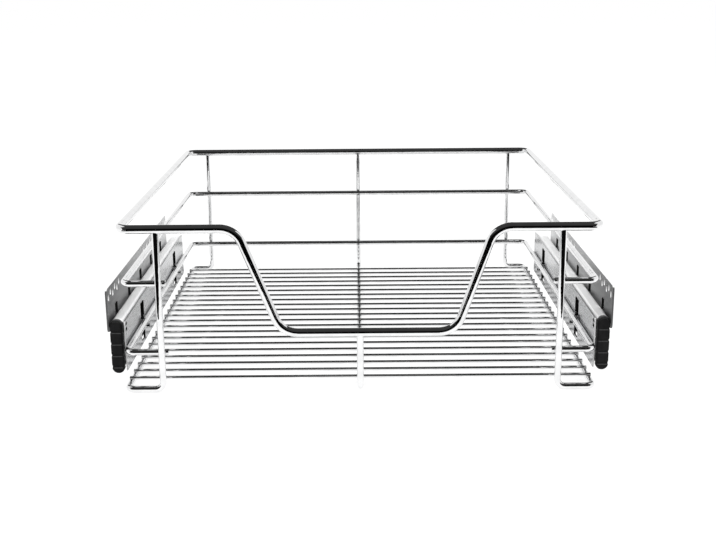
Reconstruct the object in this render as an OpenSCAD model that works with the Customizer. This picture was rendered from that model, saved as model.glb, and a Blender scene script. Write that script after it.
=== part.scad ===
// Pull out cabinet basket: a welded wire basket on two full extension telescopic runners.
// Millimetres. X across the cabinet, -Y is the front (the way it pulls out), +Z up.
// Origin: bottom centre of the closed basket, on the plane that its feet stand on.

/* [Basket] */
// clear width between the cabinet sides, over both mounting plates
cabinet_w = 464; // [424:2:564]
// gap from the top rim to the cabinet side, on each side
rim_side_gap = 16.5; // [14.5:0.5:20]
// depth of the basket over the top rim, front to back
basket_d = 430; // [420:2:450]
// height of the basket from the feet to the top of the rim
basket_h = 156; // [150:1:170]
// how far the upper rail's wire centre is above the feet
upper_rail_z = 101; // [88:1:110]
// how far the lower rail's wire centre is above the feet
lower_rail_z = 36.5; // [34:0.5:40]

/* [Wires] */
// diameter of the top rim wire
rim_wire = 8; // [7:0.5:9]
// diameter of the rail, side and centre wires
frame_wire = 6; // [5:0.5:6.5]
// diameter of the floor wires
floor_wire = 3.5; // [2.5:0.25:4]
// number of floor wires
floor_count = 21; // [11:1:25]
// gap between the rim's front wire and the first floor wire, centre to centre
floor_front = 16.5; // [14:0.5:24]
// gap between the last floor wire and the rim's rear wire, centre to centre
floor_rear = 28.5; // [22:0.5:40]
// how deep two welded wires sink into each other
weld_bite = 0.05; // [0.02:0.01:0.08]

/* [Bends] */
// bend radius of the rim corners, on the wire's centre line
rim_bend = 11; // [9:1:20]
// bend radius of the rail corners, on the wire's centre line
rail_bend = 8; // [7:1:16]
// bend radius of the side and centre wires, on the wire's centre line
side_bend = 7; // [6:0.5:12]
// bend radius of the handle dip, on the wire's centre line
dip_bend = 21; // [16:1:30]

/* [Handle dip] */
// height of the dip's bottom wire centre above the feet
dip_z = 56; // [48:1:80]
// dip corner at the rim, left of the middle
dip_top_left = 108.5; // [100:0.5:125]
// dip corner at the bottom, left of the middle
dip_low_left = 70.5; // [60:0.5:90]
// dip corner at the rim, right of the middle
dip_top_right = 119; // [105:0.5:130]
// dip corner at the bottom, right of the middle
dip_low_right = 86; // [60:0.5:95]

/* [Posts and feet] */
// distance from the side wire to the front post
front_post_in = 32.5; // [20:0.5:50]
// distance from the side wire to the rear post
rear_post_in = 23.5; // [16:0.5:50]
// how far the rail ends reach past the front posts towards the middle
rail_past_post = 2.5; // [2:0.5:12]

/* [Runner] */
// length of the outer rail
runner_l = 350; // [350:5:360]
// height of the runner
runner_h = 45; // [43:0.5:46]
// thickness of the runner from side to side
runner_t = 12.7; // [12.4:0.1:13.2]
// how far the runner's middle is above the lower rail's wire centre
runner_up = 1.8; // [0:0.1:2.4]
// how far the basket pulls out
travel = 350; // [340:1:352]
// distance from the rim's front wire centre to the front of the outer rail
runner_front = 20.4; // [19:0.2:24]
// sheet thickness of the outer rail's flanges and lips
outer_sheet = 1.5; // [1.4:0.05:1.6]
// sheet thickness of the rail webs and the inner rail
rail_sheet = 1.2; // [1.1:0.05:1.25]
// sheet thickness of the middle rail's flanges
middle_sheet = 1.4; // [1.3:0.05:1.5]
// outside radius of the outer rail's rounded edges
outer_round = 3.2; // [2.4:0.2:3.4]

/* [Balls and cages] */
// ball diameter
ball_d = 4; // [3.8:0.05:4.1]
// clearance of a ball in its raceway and in its cage
ball_gap = 0.05; // [0.02:0.01:0.08]
// how deep the raceway is pressed into a flange
race_deep = 0.3; // [0.2:0.05:0.35]
// balls in one row
ball_count = 8; // [4:1:10]
// length of a ball cage
cage_l = 158; // [150:1:160]
// sheet thickness of a ball cage
cage_sheet = 0.5; // [0.4:0.05:0.55]
// distance from the front of the outer rail to its cage, with the basket pulled out
cage_margin = 4.1; // [3:0.1:5]

/* [Hook plate] */
// height of the hook plate
hook_plate_h = 47.5; // [46:0.5:48.5]
// how far the hook plate reaches above the runner
hook_over = 0.4; // [0:0.1:1]
// sheet thickness of the hook plate
hook_sheet = 1.2; // [1:0.1:1.3]
// width of one hook
hook_w = 8; // [6:0.5:9]
// width of the windows that a hook is punched out of
hook_window_w = 13; // [9:0.5:14]
// distance from the front of the outer rail to the front hooks
hook_front = 78; // [50:1:90]
// distance between the front and the rear hooks
hook_pitch = 197; // [180:1:220]
// gap between the hooks and the rail wire at its sides and top
hook_gap = 0.3; // [0.2:0.05:0.5]

/* [Mounting plate] */
// sheet thickness of the mounting plate
plate_t = 1.5; // [1.3:0.1:1.6]
// height of the mounting plate
plate_h = 41; // [40:0.5:44]
// length of the mounting plate
plate_l = 320; // [314:2:330]
// height of the mounting plate's lower edge above the feet
plate_z = 49.5; // [48:0.5:50]
// distance from the front of the outer rail to the front of the mounting plate
plate_back = 2; // [1:1:16]
// gap between the outer rail and the mounting plate
plate_gap = 1.8; // [1.4:0.1:2.2]
// width of a fixing slot
slot_w = 4.4; // [4:0.1:5]
// height of a fixing slot
slot_h = 5.8; // [5:0.2:7]
// distance between fixing slots
slot_pitch = 9.2; // [8:0.2:10]
// diameter of the round screw holes
screw_d = 4.5; // [4:0.1:5]

/* [End cap and stop] */
// height of the rubber end cap
cap_h = 51; // [49:0.5:52]
// width of the rubber end cap
cap_w = 11.6; // [11.4:0.1:12.6]
// thickness of the rubber end cap, front to back
cap_t = 5.5; // [4.5:0.5:7]
// distance between the grooves round the end cap
groove_pitch = 11.1; // [10:0.1:11.5]
// clearance of the cap's plug in the inner rail
plug_gap = 0.05; // [0.03:0.01:0.1]
// free distance between the closed cap and the outer rail
cap_gap = 0.4; // [0.3:0.05:0.6]
// thickness of the rubber rear stop, front to back
stop_t = 7.5; // [6:0.5:8]

/* [Hidden] */
$fn = 96;
SLIVER = 0.01;
// How far a cut reaches past what it cuts through.
cut_over = 1;

chrome = [0.82, 0.83, 0.85];
zinc = [0.74, 0.75, 0.77];
plate_grey = [0.52, 0.53, 0.55];
cage_grey = [0.12, 0.115, 0.11];
ball_grey = [0.88, 0.88, 0.9];
rubber = [0.07, 0.07, 0.075];

// Basket frame, worked out from the sizes above.
rim_r = rim_wire / 2;
frame_r = frame_wire / 2;
floor_r = floor_wire / 2;
rim_z = basket_h - rim_r;
rim_x = cabinet_w / 2 - rim_side_gap - rim_r;
front_y = -(basket_d / 2 - rim_r);
rear_y = basket_d / 2 - rim_r;
foot_z = frame_r;
// Rails and side wires end this far inside the hook plates.
rail_side_gap = 0.3;
hook_face = cabinet_w / 2 - plate_t - plate_gap - runner_t - hook_sheet;
rail_x = hook_face - rail_side_gap - frame_r;
weld_step = frame_wire - weld_bite;
rail_front_y = front_y + weld_step;
rail_rear_y = rear_y - weld_step;
bend_swell = 0.03;
bend_lap = 0.1;
floor_z = foot_z + frame_r + floor_r - weld_bite;
floor_past_wire = 1;
floor_half = rail_x + floor_past_wire;
front_post_x = rail_x - front_post_in;
rear_post_x = rail_x - rear_post_in;
floor_pitch = (rear_y - floor_rear - front_y - floor_front) / (floor_count - 1);

// Runner section: u runs outwards from the hook plate's outer face, v up from the middle.
runner_u0 = hook_face + hook_sheet;
runner_z = lower_rail_z + runner_up;
half_h = runner_h / 2;
outer_lip_u = 1.2;
outer_web_u = runner_t - rail_sheet;
outer_in_v = half_h - outer_sheet;
lip_drop = 1.6;
race_r = ball_d / 2 + ball_gap;
ball_u = 5.6;
outer_ball_v = outer_in_v + race_deep - race_r;
middle_out_v = outer_ball_v - race_r + race_deep;
middle_in_v = middle_out_v - middle_sheet;
inner_ball_v = middle_in_v + race_deep - race_r;
inner_out_v = inner_ball_v - race_r + race_deep;
inner_in_v = inner_out_v - rail_sheet;
web_play = 0.2;
inner_cage_play = 0.15;
outer_cage_u = outer_web_u - web_play - cage_sheet;
middle_web_u = outer_cage_u - web_play - rail_sheet;
inner_cage_u = middle_web_u - inner_cage_play - cage_sheet;
inner_flange_u = inner_cage_u - inner_cage_play;
middle_lip_u = 1.8;
cage_arm = 0.6;
cage_arm_u = 3.4;

runner_y0 = front_y + runner_front;
cap_rear_y = runner_y0 - cap_gap;
stop_play = 0.8;
middle_front_play = 1.6;
middle_rear_play = 0.6;
inner_rear_y = runner_y0 + runner_l - stop_t - stop_play;
middle_y0 = runner_y0 + middle_front_play;
middle_rear_y = inner_rear_y - middle_rear_play;
// The outer cage rolls a quarter of the basket's way against the outer rail.
cage_y0 = runner_y0 + cage_margin + travel / 4;
ball_margin = 9;
ball_pitch = (cage_l - 2 * ball_margin) / (ball_count - 1);
hook_ys = [runner_y0 + hook_front, runner_y0 + hook_front + hook_pitch];

plate_y0 = runner_y0 + plate_back;
plate_round = 4;
slots_in_group = 6;
slot_margin = 7;
slot_middle = 170;
slot_starts = [slot_margin, slot_middle, plate_l - slot_margin - (slots_in_group - 1) * slot_pitch];
slot_below_top = 6.1;
slot_stagger = 3.5;
window_w = 6.5;
window_h = 10.8;
window_up = 8;
window_first = 31;
window_pitch = 60;
window_count = 5;
// The windows' rear edges are bent a little way inwards.
tab_in = 1;
screw_below_top = 15;
screw_ends = [78, 250];
// Pads pressed out of the plate and spot welded to the outer rail.
pad_l = 18;
pad_h = 5;
pad_up = 1;
pad_first = 14;
pad_pitch = 91;
pad_count = 4;
pad_wall = 1.2;

// ---- shared shapes ----

function unit(v) = v / norm(v);
function across(v) = unit(cross(v, abs(v[2]) < 0.9 ? [0, 0, 1] : [1, 0, 0]));

// Straight round bar between two points.
module bar(a, b, d) {
    w = unit(b - a);
    u = across(w);
    v = cross(w, u);
    multmatrix([[u[0], v[0], w[0], a[0]], [u[1], v[1], w[1], a[1]], [u[2], v[2], w[2], a[2]]])
        cylinder(d = d, h = norm(b - a));
}

// Elbow at point p, between the direction in (u) and the direction out (w).
module elbow(p, u, w, r, d) {
    turn = acos(u * w);
    n = unit(w - (w * u) * u);
    start = p - r * tan(turn / 2) * u;
    c = start + r * n;
    x = -n;
    z = cross(x, u);
    multmatrix([[x[0], u[0], z[0], c[0]], [x[1], u[1], z[1], c[1]], [x[2], u[2], z[2], c[2]]])
        rotate_extrude(angle = turn)
            translate([r, 0])
                circle(d = d);
}

function slanted(v) = max(abs(v[0]), abs(v[1]), abs(v[2])) < 0.9999;

// Wire bent along the points, rs[i] is the bend radius at point i (0 at a free end).
// A slanted bend is a hair thicker and laps over its bars, so that the union stays clean.
module bent_wire(ps, rs, d, closed = false) {
    n = len(ps);
    last = closed ? n - 1 : n - 2;
    dirs = [for (i = [0:last]) unit(ps[(i + 1) % n] - ps[i])];
    laps = [for (i = [0:n - 1])
        (rs[i] > 0 && (slanted(dirs[(i + n - 1) % n]) || slanted(dirs[i]))) ? 1 : 0];
    cut = [for (i = [0:n - 1])
        (rs[i] == 0) ? 0
            : rs[i] * tan(acos(dirs[(i + n - 1) % n] * dirs[i]) / 2) - laps[i] * bend_lap];
    union() {
        for (i = [0:last])
            bar(ps[i] + cut[i] * dirs[i], ps[(i + 1) % n] - cut[(i + 1) % n] * dirs[i], d);
        for (i = [0:n - 1])
            if (rs[i] > 0)
                elbow(ps[i], dirs[(i + n - 1) % n], dirs[i], rs[i], d + 2 * laps[i] * bend_swell);
    }
}

// Block given by its two corners.
module block(a, b) {
    translate(a)
        cube(b - a);
}

module round_rect(w, h, r) {
    translate([r, 0])
        square([w - 2 * r, h]);
    translate([0, r])
        square([w, h - 2 * r]);
    for (x = [r, w - r])
        for (y = [r, h - r])
            translate([x, y])
                circle(r = r);
}

// Extrudes a (u, v) section of the right runner along Y.
module along_runner(y0, y1) {
    translate([runner_u0, y1, runner_z])
        rotate([90, 0, 0])
            linear_extrude(height = y1 - y0)
                children();
}

// Mirrors a right hand piece to the left.
module left() {
    mirror([1, 0, 0])
        children();
}

// ---- wire basket ----

module top_rim() {
    color(chrome)
        bent_wire([
            [rim_x, front_y, rim_z],
            [rim_x, rear_y, rim_z],
            [-rim_x, rear_y, rim_z],
            [-rim_x, front_y, rim_z],
            [-dip_top_left, front_y, rim_z],
            [-dip_low_left, front_y, dip_z],
            [dip_low_right, front_y, dip_z],
            [dip_top_right, front_y, rim_z]],
            [rim_bend, rim_bend, rim_bend, rim_bend, dip_bend, dip_bend, dip_bend, dip_bend],
            rim_wire, closed = true);
}

module rail(z) {
    end_x = front_post_x - frame_r - rail_past_post;
    color(chrome)
        bent_wire([
            [end_x, rail_front_y, z],
            [rail_x, rail_front_y, z],
            [rail_x, rail_rear_y, z],
            [-rail_x, rail_rear_y, z],
            [-rail_x, rail_front_y, z],
            [-end_x, rail_front_y, z]],
            [0, rail_bend, rail_bend, rail_bend, rail_bend, 0], frame_wire);
}

module upper_rail() {
    rail(upper_rail_z);
}

module lower_rail() {
    rail(lower_rail_z);
}

// The rim wire's shape at height z, for cutting the saddle at a post's end.
module saddle(x, y, z) {
    bar([x - frame_wire, y, z], [x + frame_wire, y, z], rim_wire);
}

module right_side_wire() {
    color(chrome)
        difference() {
            bent_wire([
                [front_post_x, front_y, rim_z],
                [front_post_x, front_y, foot_z],
                [rail_x, front_y, foot_z],
                [rail_x, rear_y, foot_z],
                [rear_post_x, rear_y, foot_z],
                [rear_post_x, rear_y, rim_z]],
                [0, side_bend, side_bend, side_bend, side_bend, 0], frame_wire);
            saddle(front_post_x, front_y, rim_z);
            saddle(rear_post_x, rear_y, rim_z);
        }
}

module left_side_wire() {
    left()
        right_side_wire();
}

module centre_wire() {
    color(chrome)
        difference() {
            bent_wire([
                [0, front_y, dip_z],
                [0, front_y, foot_z],
                [0, rear_y, foot_z],
                [0, rear_y, rim_z]],
                [0, side_bend, side_bend, 0], frame_wire);
            saddle(0, front_y, dip_z);
            saddle(0, rear_y, rim_z);
        }
}

module floor_wires() {
    color(chrome)
        for (i = [0:floor_count - 1])
            bar([-floor_half, front_y + floor_front + i * floor_pitch, floor_z],
                [floor_half, front_y + floor_front + i * floor_pitch, floor_z], floor_wire);
}

// ---- hook plate ----

hook_arm_z = -frame_r - hook_sheet;
hook_lip_u = -hook_sheet - rail_side_gap - frame_wire - hook_gap - hook_sheet;
hook_lip_drop = 4.4;
keeper_z = frame_r + hook_gap;
upper_window_h = 15;
lower_window_h = 15;
hook_low_z = lower_rail_z + hook_arm_z - lower_window_h;
hook_high_z = lower_rail_z + keeper_z + hook_sheet + upper_window_h;
// The windows' rear edges are bent a little way towards the basket.
hook_tab_in = 0.8;
web_rim = 0.4;
// The end cap's tongue lies on the hook plate above the inner rail, its latches in the plate's slots.
tongue_gap = 0.1;
tongue_low = inner_out_v + tongue_gap;
tongue_h = 8.3;
latch_slot_h = 3.4;
latch_slot_w = 6;
latch_y = 4.4;
latch_rises = [6.5, 1.75];
latch_vs = [for (r = latch_rises) tongue_low + r];
latch_recess = 0.5;

// J hook under the rail wire with a keeper above it, in (x, z) of the right runner.
module hook(y) {
    translate([runner_u0, y - hook_w / 2, lower_rail_z]) {
        block([hook_lip_u, 0, hook_arm_z], [0, hook_w, hook_arm_z + hook_sheet]);
        block([hook_lip_u, 0, hook_arm_z], [hook_lip_u + hook_sheet, hook_w, frame_r - hook_lip_drop]);
        block([-hook_sheet - rail_side_gap - frame_r, 0, keeper_z], [0, hook_w, keeper_z + hook_sheet]);
    }
}

// Windows that the keeper and the hook are punched out of, between two heights.
module hook_windows(y, low, high) {
    translate([runner_u0, y - hook_window_w / 2, 0]) {
        block([-hook_sheet - cut_over, 0, lower_rail_z + keeper_z + hook_sheet],
            [rail_sheet + cut_over, hook_window_w, high]);
        block([-hook_sheet - cut_over, 0, low],
            [rail_sheet + cut_over, hook_window_w, lower_rail_z + hook_arm_z]);
    }
}

module hook_tabs(y) {
    translate([runner_u0 - hook_sheet, y + hook_window_w / 2, 0]) {
        block([-hook_tab_in, 0, lower_rail_z + keeper_z + hook_sheet],
            [hook_sheet / 2, hook_sheet, hook_high_z]);
        block([-hook_tab_in, 0, hook_low_z], [hook_sheet / 2, hook_sheet, lower_rail_z + hook_arm_z]);
    }
}

module latch_slots() {
    for (v = latch_vs)
        translate([runner_u0, cap_rear_y + latch_y, runner_z + v])
            block([-hook_sheet - cut_over, -latch_slot_w / 2, -latch_slot_h / 2],
                [cut_over, latch_slot_w / 2, latch_slot_h / 2]);
}

module right_hook_plate() {
    color(zinc) {
        difference() {
            along_runner(cap_rear_y, inner_rear_y)
                translate([-hook_sheet, half_h + hook_over - hook_plate_h])
                    square([hook_sheet, hook_plate_h]);
            for (y = hook_ys)
                hook_windows(y, hook_low_z, hook_high_z);
            latch_slots();
        }
        for (y = hook_ys) {
            hook(y);
            hook_tabs(y);
        }
    }
}

module left_hook_plate() {
    left()
        right_hook_plate();
}

// ---- runner members ----

module races(v, u = ball_u) {
    for (s = [-1, 1])
        translate([u, s * v])
            circle(r = race_r);
}

module right_inner_rail() {
    color(zinc)
        difference() {
            along_runner(cap_rear_y, inner_rear_y)
                difference() {
                    translate([0, -inner_out_v])
                        square([inner_flange_u, 2 * inner_out_v]);
                    translate([rail_sheet, -inner_in_v])
                        square([inner_flange_u, 2 * inner_in_v]);
                    races(inner_ball_v);
                }
            for (y = hook_ys)
                hook_windows(y, runner_z - inner_in_v + web_rim, runner_z + inner_in_v - web_rim);
        }
}

module left_inner_rail() {
    left()
        right_inner_rail();
}

module right_middle_rail() {
    color(zinc)
        along_runner(middle_y0, middle_rear_y)
            difference() {
                translate([middle_lip_u, -middle_out_v])
                    square([middle_web_u + rail_sheet - middle_lip_u, 2 * middle_out_v]);
                translate([middle_lip_u - cut_over, -middle_in_v])
                    square([middle_web_u - middle_lip_u + cut_over, 2 * middle_in_v]);
                races(outer_ball_v);
                races(inner_ball_v);
            }
}

module left_middle_rail() {
    left()
        right_middle_rail();
}

stop_peg_d = 5;
stop_peg_gap = 0.05;
stop_y = runner_y0 + runner_l - stop_t / 2;

module right_outer_rail() {
    color(zinc)
        difference() {
            along_runner(runner_y0, runner_y0 + runner_l)
                difference() {
                    translate([outer_lip_u, -half_h])
                        round_rect(runner_t - outer_lip_u, runner_h, outer_round);
                    translate([outer_lip_u + outer_sheet, -outer_in_v])
                        round_rect(outer_web_u - outer_lip_u - outer_sheet, 2 * outer_in_v,
                            outer_round - outer_sheet);
                    translate([outer_lip_u - cut_over, -outer_in_v + lip_drop])
                        square([outer_sheet + 2 * cut_over, 2 * (outer_in_v - lip_drop)]);
                    races(outer_ball_v);
                }
            translate([runner_u0 + outer_web_u - cut_over, stop_y, runner_z])
                rotate([0, 90, 0])
                    cylinder(d = stop_peg_d + 2 * stop_peg_gap, h = rail_sheet + 2 * cut_over);
        }
}

module left_outer_rail() {
    left()
        right_outer_rail();
}

// Cage: a web strip with an arm at each ball row.
module cage(web_u, v) {
    difference() {
        along_runner(cage_y0, cage_y0 + cage_l) {
            translate([web_u, -v - cage_arm / 2])
                square([cage_sheet, 2 * v + cage_arm]);
            for (s = [-1, 1])
                translate([cage_arm_u, s * v - cage_arm / 2])
                    square([web_u + cage_sheet - cage_arm_u, cage_arm]);
        }
        for (i = [0:ball_count - 1])
            translate([runner_u0 + ball_u, cage_y0 + ball_margin + i * ball_pitch, runner_z - v - cut_over])
                cylinder(r = race_r, h = 2 * (v + cut_over));
    }
}

module balls(v) {
    for (s = [-1, 1])
        for (i = [0:ball_count - 1])
            translate([runner_u0 + ball_u, cage_y0 + ball_margin + i * ball_pitch, runner_z + s * v])
                sphere(d = ball_d);
}

module right_inner_cage() {
    color(cage_grey)
        cage(inner_cage_u, inner_ball_v);
}

module left_inner_cage() {
    left()
        right_inner_cage();
}

module right_outer_cage() {
    color(cage_grey)
        cage(outer_cage_u, outer_ball_v);
}

module left_outer_cage() {
    left()
        right_outer_cage();
}

module right_inner_balls() {
    color(ball_grey)
        balls(inner_ball_v);
}

module left_inner_balls() {
    left()
        right_inner_balls();
}

module right_outer_balls() {
    color(ball_grey)
        balls(outer_ball_v);
}

module left_outer_balls() {
    left()
        right_outer_balls();
}

// ---- mounting plate ----

module plate_outline() {
    difference() {
        round_rect(plate_l, plate_h, plate_round);
        for (start = slot_starts)
            for (i = [0:slots_in_group - 1])
                translate([start + i * slot_pitch - slot_w / 2,
                    plate_h - slot_below_top - slot_h / 2 - ((i % 2 == 0) ? slot_stagger : 0)])
                    round_rect(slot_w, slot_h, slot_w / 2 - SLIVER);
        for (i = [0:window_count - 1])
            translate([window_first + i * window_pitch, window_up])
                square([window_w, window_h]);
        for (x = screw_ends)
            translate([x, plate_h - screw_below_top])
                circle(d = screw_d);
    }
}

module right_mounting_plate() {
    plate_x0 = runner_u0 + runner_t + plate_gap;
    color(plate_grey)
        difference() {
            union() {
                translate([plate_x0, plate_y0, plate_z])
                    rotate([90, 0, 90])
                        linear_extrude(height = plate_t)
                            plate_outline();
                for (i = [0:window_count - 1])
                    translate([plate_x0 - tab_in, plate_y0 + window_first + i * window_pitch + window_w,
                        plate_z + window_up])
                        cube([tab_in + plate_t / 2, plate_t, window_h]);
                for (i = [0:pad_count - 1])
                    translate([plate_x0 - plate_gap, plate_y0 + pad_first + i * pad_pitch, plate_z + pad_up])
                        cube([plate_gap + plate_t / 2, pad_l, pad_h]);
            }
            for (i = [0:pad_count - 1])
                translate([plate_x0 + plate_t - plate_gap, plate_y0 + pad_first + i * pad_pitch + pad_wall,
                    plate_z + pad_up + pad_wall])
                    cube([plate_gap + cut_over, pad_l - 2 * pad_wall, pad_h - 2 * pad_wall]);
        }
}

module left_mounting_plate() {
    left()
        right_mounting_plate();
}

// ---- rubber ----

cap_round = 5.6;
// The cap's front edge is rounded in two steps: [inset, depth].
cap_steps = [[0.5, 0.7], [1.3, 0.6]];
groove_count = 4;
groove_first = 6.4;
groove_r = 1.5;
groove_deep = 0.8;
notch_r = 2.5;
notch_deep = 0.5;
cap_u0 = (runner_t - cap_w) / 2;
plug_l = 12;
plug_u1 = 7;
tongue_l = 8;
tongue_t = 0.9;

function groove_v(i) = -cap_h / 2 + groove_first + i * groove_pitch;

// Stadium shaped section of the cap, notched at both sides where the grooves run round it.
module cap_outline(inset) {
    difference() {
        translate([cap_u0 + inset, -cap_h / 2 + inset])
            round_rect(cap_w - 2 * inset, cap_h - 2 * inset, cap_round - inset);
        for (i = [0:groove_count - 1])
            for (u = [cap_u0 + inset + notch_deep - notch_r, cap_u0 + cap_w - inset - notch_deep + notch_r])
                translate([u, groove_v(i)])
                    circle(r = notch_r);
    }
}

// Half round grooves across the cap's front.
module grooves() {
    for (i = [0:groove_count - 1])
        translate([runner_u0 + cap_u0 - cut_over, cap_rear_y - cap_t + groove_deep - groove_r,
            runner_z + groove_v(i)])
            rotate([0, 90, 0])
                cylinder(r = groove_r, h = cap_w + 2 * cut_over);
}

module right_end_cap() {
    step_ys = [cap_rear_y - cap_t + cap_steps[0][1] + cap_steps[1][1], cap_rear_y - cap_t + cap_steps[1][1]];
    color(rubber) {
        difference() {
            union() {
                along_runner(step_ys[0], cap_rear_y)
                    cap_outline(0);
                along_runner(step_ys[1], step_ys[0])
                    cap_outline(cap_steps[0][0]);
                along_runner(cap_rear_y - cap_t, step_ys[1])
                    cap_outline(cap_steps[1][0]);
            }
            grooves();
        }
        translate([runner_u0, 0, runner_z]) {
            block([rail_sheet + plug_gap, cap_rear_y, -inner_in_v + plug_gap],
                [plug_u1, cap_rear_y + plug_l, inner_in_v - plug_gap]);
            block([plug_gap, cap_rear_y, tongue_low],
                [tongue_t, cap_rear_y + tongue_l, tongue_low + tongue_h]);
        }
        for (v = latch_vs)
            translate([runner_u0, cap_rear_y + latch_y, runner_z + v])
                block([latch_recess - hook_sheet, plug_gap - latch_slot_w / 2, plug_gap - latch_slot_h / 2],
                    [tongue_t, latch_slot_w / 2 - plug_gap, latch_slot_h / 2 - plug_gap]);
    }
}

module left_end_cap() {
    left()
        right_end_cap();
}

stop_u0 = 2.4;
stop_half = 15;

module right_rear_stop() {
    color(rubber) {
        translate([runner_u0, 0, runner_z])
            block([stop_u0, runner_y0 + runner_l - stop_t, -stop_half],
                [outer_web_u, runner_y0 + runner_l, stop_half]);
        translate([runner_u0 + outer_web_u, stop_y, runner_z])
            rotate([0, 90, 0])
                cylinder(d = stop_peg_d, h = rail_sheet);
    }
}

module left_rear_stop() {
    left()
        right_rear_stop();
}

top_rim();
upper_rail();
lower_rail();
left_side_wire();
right_side_wire();
centre_wire();
floor_wires();
left_hook_plate();
left_inner_rail();
left_inner_cage();
left_inner_balls();
left_middle_rail();
left_outer_cage();
left_outer_balls();
left_outer_rail();
left_mounting_plate();
left_end_cap();
left_rear_stop();
right_hook_plate();
right_inner_rail();
right_inner_cage();
right_inner_balls();
right_middle_rail();
right_outer_cage();
right_outer_balls();
right_outer_rail();
right_mounting_plate();
right_end_cap();
right_rear_stop();
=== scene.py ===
"""Looks of the pull out cabinet basket: chrome wire basket on two zinc plated runners, in a white light tent."""

import math

import bpy
from mathutils import Matrix, Vector


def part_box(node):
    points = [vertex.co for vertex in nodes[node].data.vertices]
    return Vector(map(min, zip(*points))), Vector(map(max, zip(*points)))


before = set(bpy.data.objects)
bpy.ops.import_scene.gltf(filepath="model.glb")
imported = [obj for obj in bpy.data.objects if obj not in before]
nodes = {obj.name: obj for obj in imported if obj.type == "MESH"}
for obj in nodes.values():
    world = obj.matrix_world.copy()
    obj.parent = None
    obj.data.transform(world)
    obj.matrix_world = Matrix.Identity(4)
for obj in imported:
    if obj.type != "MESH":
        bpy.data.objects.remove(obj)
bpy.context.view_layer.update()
scene = bpy.context.scene

# ---- camera, solved from the photograph's wires ----
CAMERA_PLACE = Vector((-0.00289, -1.13801, 0.36579))
CAMERA_PITCH = math.radians(15.2095)
CAMERA_YAW = math.radians(-0.0861)
CAMERA_ROLL = math.radians(-0.4133)
CAMERA_LENS = 54.674
CAMERA_SENSOR = 36

cam_data = bpy.data.cameras.new("camera")
cam_data.sensor_width = CAMERA_SENSOR
cam_data.lens = CAMERA_LENS
cam = bpy.data.objects.new("camera", cam_data)
scene.collection.objects.link(cam)
cam.matrix_world = (
    Matrix.Translation(CAMERA_PLACE)
    @ Matrix.Rotation(CAMERA_YAW, 4, "Z")
    @ Matrix.Rotation(math.pi / 2 - CAMERA_PITCH, 4, "X")
    @ Matrix.Rotation(CAMERA_ROLL, 4, "Z")
)
scene.camera = cam


# ---- node helpers ----
# Noise gathers about 0.5, so only this part of its range is spread out.
NOISE_LOW, NOISE_HIGH = 0.3, 0.7


class Tree:
    """A node tree, with short calls to add and link nodes."""

    def __init__(self, owner):
        owner.use_nodes = True
        self.t = owner.node_tree
        self.t.nodes.clear()

    def add(self, kind, **props):
        """Adds a node. A name that is one of its inputs, with _ for a space, is linked or set there."""
        n = self.t.nodes.new(kind)
        for k, v in props.items():
            socket = k.replace("_", " ")
            if socket in n.inputs:
                self.value(n.inputs[socket], v)
            else:
                setattr(n, k, v)
        return n

    def link(self, a, b):
        self.t.links.new(a, b)

    def value(self, socket, x):
        """Links x if it is a socket, and sets it if it is a number or colour."""
        if isinstance(x, bpy.types.NodeSocket):
            self.link(x, socket)
        elif x is not None:
            socket.default_value = x

    def math(self, op, a, b=None, clamp=False):
        n = self.add("ShaderNodeMath", operation=op, use_clamp=clamp)
        for socket, x in zip(n.inputs, (a, b)):
            self.value(socket, x)
        return n.outputs[0]

    def ramp(self, fac, low, high, from_min=0.0, from_max=1.0):
        n = self.add(
            "ShaderNodeMapRange", Value=fac, From_Min=from_min, From_Max=from_max, To_Min=low, To_Max=high
        )
        return n.outputs["Result"]

    def spread(self, noise, low, high):
        """A noise, brought to the range from low to high."""
        return self.ramp(noise, low, high, NOISE_LOW, NOISE_HIGH)

    def mix(self, fac, a, b):
        return self.add("ShaderNodeMix", data_type="RGBA", Factor=fac, A=a, B=b).outputs["Result"]

    def noise(self, scale, stretch=(1, 1, 1), detail=3.0, rough=0.5):
        """Noise that rides on the piece, in metres times stretch."""
        place = self.add("ShaderNodeMapping", Scale=stretch)
        self.link(self.add("ShaderNodeTexCoord").outputs["Object"], place.inputs["Vector"])
        n = self.add(
            "ShaderNodeTexNoise", Vector=place.outputs["Vector"], Scale=scale, Detail=detail, Roughness=rough
        )
        return n.outputs["Fac"]

    def axis(self, output, name):
        """One component of the object coordinates or of the object-space normal."""
        source = self.add("ShaderNodeTexCoord").outputs[output]
        return self.add("ShaderNodeSeparateXYZ", Vector=source).outputs[name]

    def bump(self, height, strength, distance, normal=None):
        n = self.add("ShaderNodeBump", Strength=strength, Distance=distance, Height=height, Normal=normal)
        return n.outputs["Normal"]

    def output(self, shader, kind="ShaderNodeOutputMaterial"):
        self.link(shader.outputs[0], self.add(kind).inputs[0])

    def principled(self, **inputs):
        self.output(self.add("ShaderNodeBsdfPrincipled", **inputs))


def material(name):
    m = bpy.data.materials.new(name)
    return m, Tree(m)


# ---- materials ----
# The slots and screw holes lie less than this below the plate's top, and the windows lie lower.
SLOT_ROWS_DEPTH = 0.0175
SLOT_LOW_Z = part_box("left_mounting_plate")[1][2] - SLOT_ROWS_DEPTH
# Cut faces nearer than this to a sheet's end are that end, not a window's wall.
END_DEPTH = 0.001
PLATE_FRONT_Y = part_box("left_mounting_plate")[0][1] + END_DEPTH
HOOK_FRONT_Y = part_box("left_hook_plate")[0][1] + END_DEPTH / 2
RUNNER_TOP_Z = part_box("left_outer_rail")[1][2]
# Below the runner's top: the painted highlight that makes the top pale begins at the first depth where it faces
# up, and at the second everywhere, each with a fade; the greasy inner side, darkened by painted shade as well,
# reaches up to the third.
TOP_DEPTH, EDGE_DEPTH, GREASE_DEPTH = 0.008, 0.004, 0.003
BAND_FADE = 0.002
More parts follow.
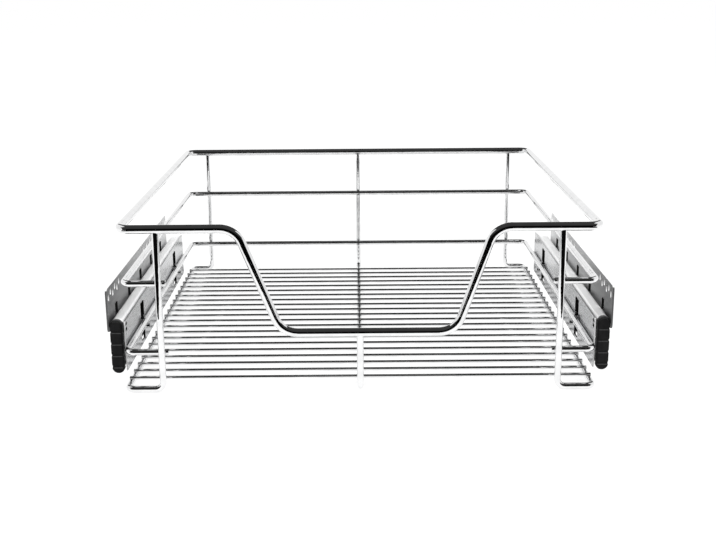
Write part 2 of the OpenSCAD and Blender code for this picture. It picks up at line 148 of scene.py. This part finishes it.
# Faces of the middle rail this near to its side towards the basket are its lips' ends.
LIP_BAND = 0.0004
LIP_EDGE_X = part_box("right_middle_rail")[0][0] + LIP_BAND
# A face looks along an axis where its normal has more than this of it; a rail's outer side, clear of its
# bends, needs more.
FACING = 0.5
OUTER_FACING = 0.8
# The plate's painted shading gets lighter from the first to the second of these: painted shade at the front,
# painted light at the back.
PLATE_PAINTED_SHADE_Y, PLATE_PAINTED_LIGHT_Y = -0.17, 0.12
PLATE_METAL = 0.4
SPECULAR = 0.5
# Painted shade: the walls inside punched windows are painted near black, for the dark gaps in the sheet.
PAINTED_CUT_SHADE = (0.008, 0.008, 0.008, 1)


def chrome_material():
    """Bright plating with faint drawing marks and haze."""
    m, t = material("chrome_wire")
    drawn = t.noise(90, detail=2.0)
    haze = t.noise(900, detail=3.0, rough=0.6)
    t.principled(
        Base_Color=t.mix(t.ramp(drawn, 0.0, 1.0, 0.35, 0.65), (0.77, 0.772, 0.776, 1), (0.85, 0.852, 0.855, 1)),
        Metallic=1.0,
        Roughness=t.spread(haze, 0.03, 0.075),
        Normal=t.bump(drawn, 0.25, 0.0004),
    )
    return m


def cut_wall(t, node):
    """1 on the walls that face the front or back inside a piece's punched windows, else 0; black painted shade
    goes there.
    """
    low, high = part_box(node)
    facing = t.math("GREATER_THAN", t.math("ABSOLUTE", t.axis("Normal", "Y")), FACING)
    y = t.axis("Object", "Y")
    behind_front = t.math("GREATER_THAN", y, low[1] + END_DEPTH)
    before_back = t.math("LESS_THAN", y, high[1] - END_DEPTH)
    return t.math("MULTIPLY", facing, t.math("MULTIPLY", behind_front, before_back))


def zinc_material():
    """Bright zinc plating: matt on top with a painted highlight that makes it pale, painted shade giving the
    outer side a plainer grey, and grease with painted shade darkening the inner side.
    """
    m, t = material("zinc_steel")
    grain = t.noise(60, stretch=(14, 0.6, 14), detail=5.0, rough=0.6)
    wave = t.noise(26, stretch=(1, 0.45, 1.4), detail=1.0)
    cloud = t.noise(28)
    z = t.axis("Object", "Z")
    # Painted highlight: the band at the runner's top is painted pale and less metallic where it faces up, and
    # its topmost edge everywhere; it is also made matt.
    top = t.ramp(z, 0.0, 1.0, RUNNER_TOP_Z - TOP_DEPTH, RUNNER_TOP_Z - TOP_DEPTH + BAND_FADE)
    up = t.math("MULTIPLY", t.ramp(t.axis("Normal", "Z"), 0.0, 1.0, 0.1, 0.9), top)
    edge = t.ramp(z, 0.0, 1.0, RUNNER_TOP_Z - EDGE_DEPTH, RUNNER_TOP_Z - EDGE_DEPTH + BAND_FADE)
    outward = t.math("MULTIPLY", t.axis("Normal", "X"), t.math("SIGN", t.axis("Object", "X")))
    # Painted shade: faces looking outward get a darker, plainer grey.
    painted_outer_shade = t.math("GREATER_THAN", outward, OUTER_FACING)
    pale = t.math("SUBTRACT", t.math("MAXIMUM", up, edge), painted_outer_shade, clamp=True)
    # Grease and painted shade: the inner side below the top is painted dark.
    below_top = t.math("LESS_THAN", z, RUNNER_TOP_Z - GREASE_DEPTH)
    inside = t.math("MULTIPLY", t.math("LESS_THAN", outward, -FACING), below_top)
    # Painted shade: the window walls of the inner rail are painted black.
    painted_shade_wall = cut_wall(t, "left_inner_rail")
    tint = t.mix(t.spread(cloud, 0.0, 1.0), (0.62, 0.623, 0.63, 1), (0.74, 0.743, 0.75, 1))
    tint = t.mix(painted_outer_shade, tint, t.mix(cloud, (0.36, 0.362, 0.366, 1), (0.5, 0.502, 0.508, 1)))
    tint = t.mix(pale, tint, (0.92, 0.92, 0.92, 1))
    tint = t.mix(inside, tint, t.mix(cloud, (0.1, 0.099, 0.095, 1), (0.24, 0.238, 0.23, 1)))
    t.principled(
        Base_Color=t.mix(painted_shade_wall, tint, PAINTED_CUT_SHADE),
        Metallic=t.math("MULTIPLY", t.ramp(pale, 1.0, 0.1), t.math("SUBTRACT", 1.0, painted_shade_wall)),
        Roughness=t.math("ADD", t.spread(grain, 0.16, 0.25), t.math("MULTIPLY", pale, 0.15)),
        Specular_IOR_Level=t.ramp(painted_shade_wall, SPECULAR, 0.0),
        Normal=t.bump(grain, 0.1, 0.0001, t.bump(wave, 0.4, 0.001)),
    )
    return m


def hook_plate_material():
    """Zinc plated strip with a satin, slightly wavy face, a painted highlight making its front edge pale, and
    black painted shade on its window edges.
    """
    m, t = material("hook_plate_steel")
    grain = t.noise(70, stretch=(12, 0.6, 12), detail=5.0, rough=0.6)
    wave = t.noise(24, stretch=(1, 0.5, 1.3), detail=1.0)
    cloud = t.noise(24)
    # Painted shade: the window walls are painted black.
    painted_shade_wall = cut_wall(t, "left_hook_plate")
    # Painted highlight: the front end face is painted near white and not metallic.
    front = t.math("LESS_THAN", t.axis("Object", "Y"), HOOK_FRONT_Y)
    tint = t.mix(t.spread(cloud, 0.0, 1.0), (0.56, 0.565, 0.572, 1), (0.66, 0.665, 0.67, 1))
    t.principled(
        Base_Color=t.mix(front, t.mix(painted_shade_wall, tint, PAINTED_CUT_SHADE), (0.9, 0.9, 0.9, 1)),
        Metallic=t.math("SUBTRACT", 1.0, t.math("MAXIMUM", painted_shade_wall, front)),
        Roughness=t.spread(grain, 0.24, 0.32),
        Specular_IOR_Level=t.ramp(painted_shade_wall, SPECULAR, 0.0),
        Normal=t.bump(grain, 0.1, 0.0001, t.bump(wave, 0.35, 0.001)),
    )
    return m


def greased_shaded_rail_material():
    """The middle rail: zinc plated and dulled by a film of grease, with painted shade making its lips' ends near
    black.
    """
    m, t = material("greased_shaded_steel")
    grain = t.noise(70, stretch=(12, 0.6, 12), detail=5.0, rough=0.6)
    film = t.noise(36, stretch=(1, 0.4, 1))
    # Painted shade: the lips' ends are painted near black.
    painted_lip_shade = t.math("LESS_THAN", t.math("ABSOLUTE", t.axis("Object", "X")), LIP_EDGE_X)
    tint = t.mix(t.spread(film, 0.0, 1.0), (0.2, 0.198, 0.19, 1), (0.34, 0.338, 0.33, 1))
    t.principled(
        Base_Color=t.mix(painted_lip_shade, tint, (0.02, 0.02, 0.019, 1)),
        Metallic=1.0,
        Roughness=t.spread(grain, 0.24, 0.38),
        Normal=t.bump(grain, 0.15, 0.0002),
    )
    return m


def plate_material():
    """Satin sheet with painted shade at the front that gets lighter to painted light at the back, painted light
    on its pale slot edges and black painted shade on the edges in its windows.
    """
    m, t = material("plate_steel")
    grain = t.noise(80, stretch=(10, 0.5, 10), detail=5.0, rough=0.6)
    cloud = t.spread(t.noise(20), 0.0, 1.0)
    y = t.axis("Object", "Y")
    z = t.axis("Object", "Z")
    edge = t.math("LESS_THAN", t.math("ABSOLUTE", t.axis("Normal", "X")), FACING)
    cut = t.math("MULTIPLY", edge, t.math("GREATER_THAN", y, PLATE_FRONT_Y))
    # Painted light: the slot edges are painted pale and less metallic.
    slot = t.math("MULTIPLY", cut, t.math("GREATER_THAN", z, SLOT_LOW_Z))
    # Painted shade: the window walls are painted black.
    window = t.math("MULTIPLY", cut, t.math("LESS_THAN", z, SLOT_LOW_Z))
    # Painted light and shade: the plate is painted dark at the front and light at the back.
    painted_shade_tone = t.mix(cloud, (0.10, 0.101, 0.103, 1), (0.14, 0.141, 0.143, 1))
    light = t.mix(cloud, (0.62, 0.622, 0.625, 1), (0.74, 0.742, 0.745, 1))
    tint = t.mix(t.ramp(y, 0.0, 1.0, PLATE_PAINTED_SHADE_Y, PLATE_PAINTED_LIGHT_Y), painted_shade_tone, light)
    tint = t.mix(slot, tint, (0.8, 0.8, 0.8, 1))
    t.principled(
        Base_Color=t.mix(window, tint, PAINTED_CUT_SHADE),
        Metallic=t.math("SUBTRACT", PLATE_METAL, t.math("MAXIMUM", slot, window), clamp=True),
        Roughness=t.math("MAXIMUM", t.spread(grain, 0.28, 0.4), window),
        Specular_IOR_Level=t.ramp(window, SPECULAR, 0.0),
        Normal=t.bump(grain, 0.15, 0.0002),
    )
    return m


def cage_material():
    """Stamped sheet, dark with grease and painted shade."""
    m, t = material("cage_steel")
    grain = t.noise(120, stretch=(8, 0.6, 8), detail=4.0)
    # Grease and painted shade: the cage is painted dark.
    t.principled(
        Base_Color=t.mix(grain, (0.08, 0.078, 0.072, 1), (0.16, 0.155, 0.145, 1)),
        Metallic=1.0,
        Roughness=t.ramp(grain, 0.26, 0.4),
        Normal=t.bump(grain, 0.15, 0.0002),
    )
    return m


def ball_material():
    """Polished steel under a thin film of grease."""
    m, t = material("ball_steel")
    film = t.noise(500, detail=2.0)
    t.principled(
        Base_Color=t.mix(film, (0.8, 0.8, 0.81, 1), (0.9, 0.9, 0.9, 1)),
        Metallic=1.0,
        Roughness=t.ramp(film, 0.05, 0.12),
        Normal=t.bump(film, 0.05, 0.0001),
    )
    return m


def rubber_material():
    """Matt black rubber, with painted light making it paler where it faces up."""
    m, t = material("black_rubber")
    grain = t.noise(1400)
    dust = t.noise(160, stretch=(1, 1, 0.3), detail=4.0)
    tint = t.mix(t.ramp(dust, 0.0, 1.0, 0.4, 0.75), (0.004, 0.004, 0.0043, 1), (0.010, 0.010, 0.0104, 1))
    # Painted light: faces looking up are painted paler.
    up = t.ramp(t.axis("Normal", "Z"), 0.0, 1.0, 0.25, 0.95)
    t.principled(
        Base_Color=t.mix(up, tint, (0.07, 0.07, 0.071, 1)),
        Roughness=t.ramp(grain, 0.5, 0.7),
        Specular_IOR_Level=0.2,
        Normal=t.bump(grain, 0.3, 0.0002),
    )
    return m


FINISH = {
    "chrome_wire": chrome_material(),
    "zinc_steel": zinc_material(),
    "hook_plate_steel": hook_plate_material(),
    "greased_shaded_steel": greased_shaded_rail_material(),
    "plate_steel": plate_material(),
    "cage_steel": cage_material(),
    "ball_steel": ball_material(),
    "black_rubber": rubber_material(),
}
# A word in the node's name, its finish and its slot in the record; wires have none of these words.
FINISH_OF_WORD = (
    ("hook_plate", "hook_plate_steel", "zinc_steel"),
    ("mounting_plate", "plate_steel", "plate_steel"),
    ("cage", "cage_steel", "cage_steel"),
    ("balls", "ball_steel", "ball_steel"),
    ("cap", "black_rubber", "black_rubber"),
    ("stop", "black_rubber", "black_rubber"),
    ("middle_rail", "greased_shaded_steel", "zinc_steel"),
    ("inner_rail", "zinc_steel", "zinc_steel"),
    ("outer_rail", "zinc_steel", "zinc_steel"),
)
WIRE = ("", "chrome_wire", "chrome_wire")

for name, obj in nodes.items():
    _, finish, slot = next((row for row in FINISH_OF_WORD if row[0] in name), WIRE)
    obj.data.materials.clear()
    obj.data.materials.append(FINISH[finish])

# ---- stage: white floor, dark cards that only the metal sees, soft lamps ----
WHITE = (1, 1, 1, 1)
# The floor's glow for rays that are seen, and the background's strength for the rays that light things.
SEEN_FLOOR = 0.8
SKY_LIGHT = 0.8
FLOOR_TONE = (0.25, 0.25, 0.25, 1)
FLOOR_HALF = 15
FLOOR_Z = -0.0003
FLOOR_CARD_Z = -0.0001
# Stops of the arches: (angle from the front floor / 180 degrees, tone).
FRONT_STOPS = ((0.0, 0.001), (0.13, 0.002), (0.19, 0.04), (0.45, 0.048))
BACK_STOPS = ((0.65, 0.05), (0.86, 0.09))
LAMP_TARGET = Vector((0, 0, 0.05))


def seen_ray(t):
    """1 for camera, glossy and transmission rays, 0 for the rays that light other things."""
    path = t.add("ShaderNodeLightPath")
    seen = t.math("MAXIMUM", path.outputs["Is Camera Ray"], path.outputs["Is Glossy Ray"])
    return t.math("MAXIMUM", seen, path.outputs["Is Transmission Ray"])


def floor_material():
    m, t = material("floor_white")
    diffuse = t.add("ShaderNodeBsdfDiffuse", Color=FLOOR_TONE)
    glow = t.add("ShaderNodeEmission", Color=WHITE, Strength=t.math("MULTIPLY", seen_ray(t), SEEN_FLOOR))
    both = t.add("ShaderNodeAddShader")
    t.link(diffuse.outputs[0], both.inputs[0])
    t.link(glow.outputs[0], both.inputs[1])
    t.output(both)
    return m


def arch_material(name, stops):
    """Emission that changes with the angle over the arch."""
    m, t = material(name)
    forward = t.math("MULTIPLY", t.axis("Object", "Y"), -1.0)
    angle = t.math("ARCTAN2", t.axis("Object", "Z"), forward)
    ramp = t.add("ShaderNodeValToRGB", Fac=t.math("DIVIDE", angle, math.pi))
    elements = ramp.color_ramp.elements
    while len(elements) < len(stops):
        elements.new(1.0)
    for element, (at, tone) in zip(elements, stops):
        element.position = at
        element.color = (tone, tone, tone, 1)
    t.output(t.add("ShaderNodeEmission", Color=ramp.outputs["Color"]))
    return m


def plain_glow_material(name, tone):
    m, t = material(name)
    t.output(t.add("ShaderNodeEmission", Color=(tone, tone, tone, 1)))
    return m


def stage_mesh(name, verts, faces, mat, z=0.0):
    mesh = bpy.data.meshes.new(name)
    mesh.from_pydata(verts, [], faces)
    mesh.materials.append(mat)
    o = bpy.data.objects.new(name, mesh)
    o.location = (0, 0, z)
    scene.collection.objects.link(o)
    return o


def metal_card(name, pairs, mat, z=0.0):
    """A strip through pairs of points, which only glossy rays see."""
    verts = [point for pair in pairs for point in pair]
    faces = [(2 * i, 2 * i + 1, 2 * i + 3, 2 * i + 2) for i in range(len(pairs) - 1)]
    o = stage_mesh(name, verts, faces, mat, z)
    o.visible_camera = False
    o.visible_diffuse = False
    o.visible_shadow = False
    o.visible_transmission = False
    o.visible_volume_scatter = False


def arch(name, radius, half_width, end_angle, stops, steps=48):
    """Part of a cylinder over the part, from the front floor up and over."""
    pairs = []
    for i in range(steps + 1):
        a = math.radians(end_angle) * i / steps
        y, z = -radius * math.cos(a), radius * math.sin(a)
        pairs.append(((-half_width, y, z), (half_width, y, z)))
    metal_card(name, pairs, arch_material(name, stops))


def floor_sector(name, inner, outer, half_angle, tone, steps=32):
    """Part of a ring on the floor in front of the part."""
    pairs = []
    for i in range(steps + 1):
        a = math.radians(half_angle) * (2 * i / steps - 1)
        pairs.append([(r * math.sin(a), -r * math.cos(a), 0) for r in (inner, outer)])
    metal_card(name, pairs, plain_glow_material(name, tone), FLOOR_CARD_Z)


def lamp(name, place, size, watts):
    data = bpy.data.lights.new(name, "AREA")
    data.shape = "DISK"
    data.size = size
    data.energy = watts
    o = bpy.data.objects.new(name, data)
    scene.collection.objects.link(o)
    o.location = place
    o.rotation_euler = (LAMP_TARGET - Vector(place)).to_track_quat("-Z", "Y").to_euler()
    o.visible_glossy = False


corners = [(x * FLOOR_HALF, y * FLOOR_HALF, 0) for x, y in ((-1, -1), (1, -1), (1, 1), (-1, 1))]
stage_mesh("floor", corners, [(0, 1, 2, 3)], floor_material(), FLOOR_Z)

arch("dark_arch", radius=1.7, half_width=1.15, end_angle=155, stops=FRONT_STOPS + BACK_STOPS)
arch("front_arch", radius=1.75, half_width=3.0, end_angle=80, stops=FRONT_STOPS)
floor_sector("dark_floor", inner=0.5, outer=1.75, half_angle=60, tone=0.003)

lamp("key", (-1.2, -1.3, 1.9), size=1.4, watts=40)
lamp("fill", (1.5, -0.4, 1.6), size=1.6, watts=26)

world = bpy.data.worlds.new("studio")
scene.world = world
sky = Tree(world)
back = sky.add("ShaderNodeBackground", Color=WHITE, Strength=sky.ramp(seen_ray(sky), SKY_LIGHT, 1.0))
sky.output(back, "ShaderNodeOutputWorld")

scene.view_settings.view_transform = "Standard"
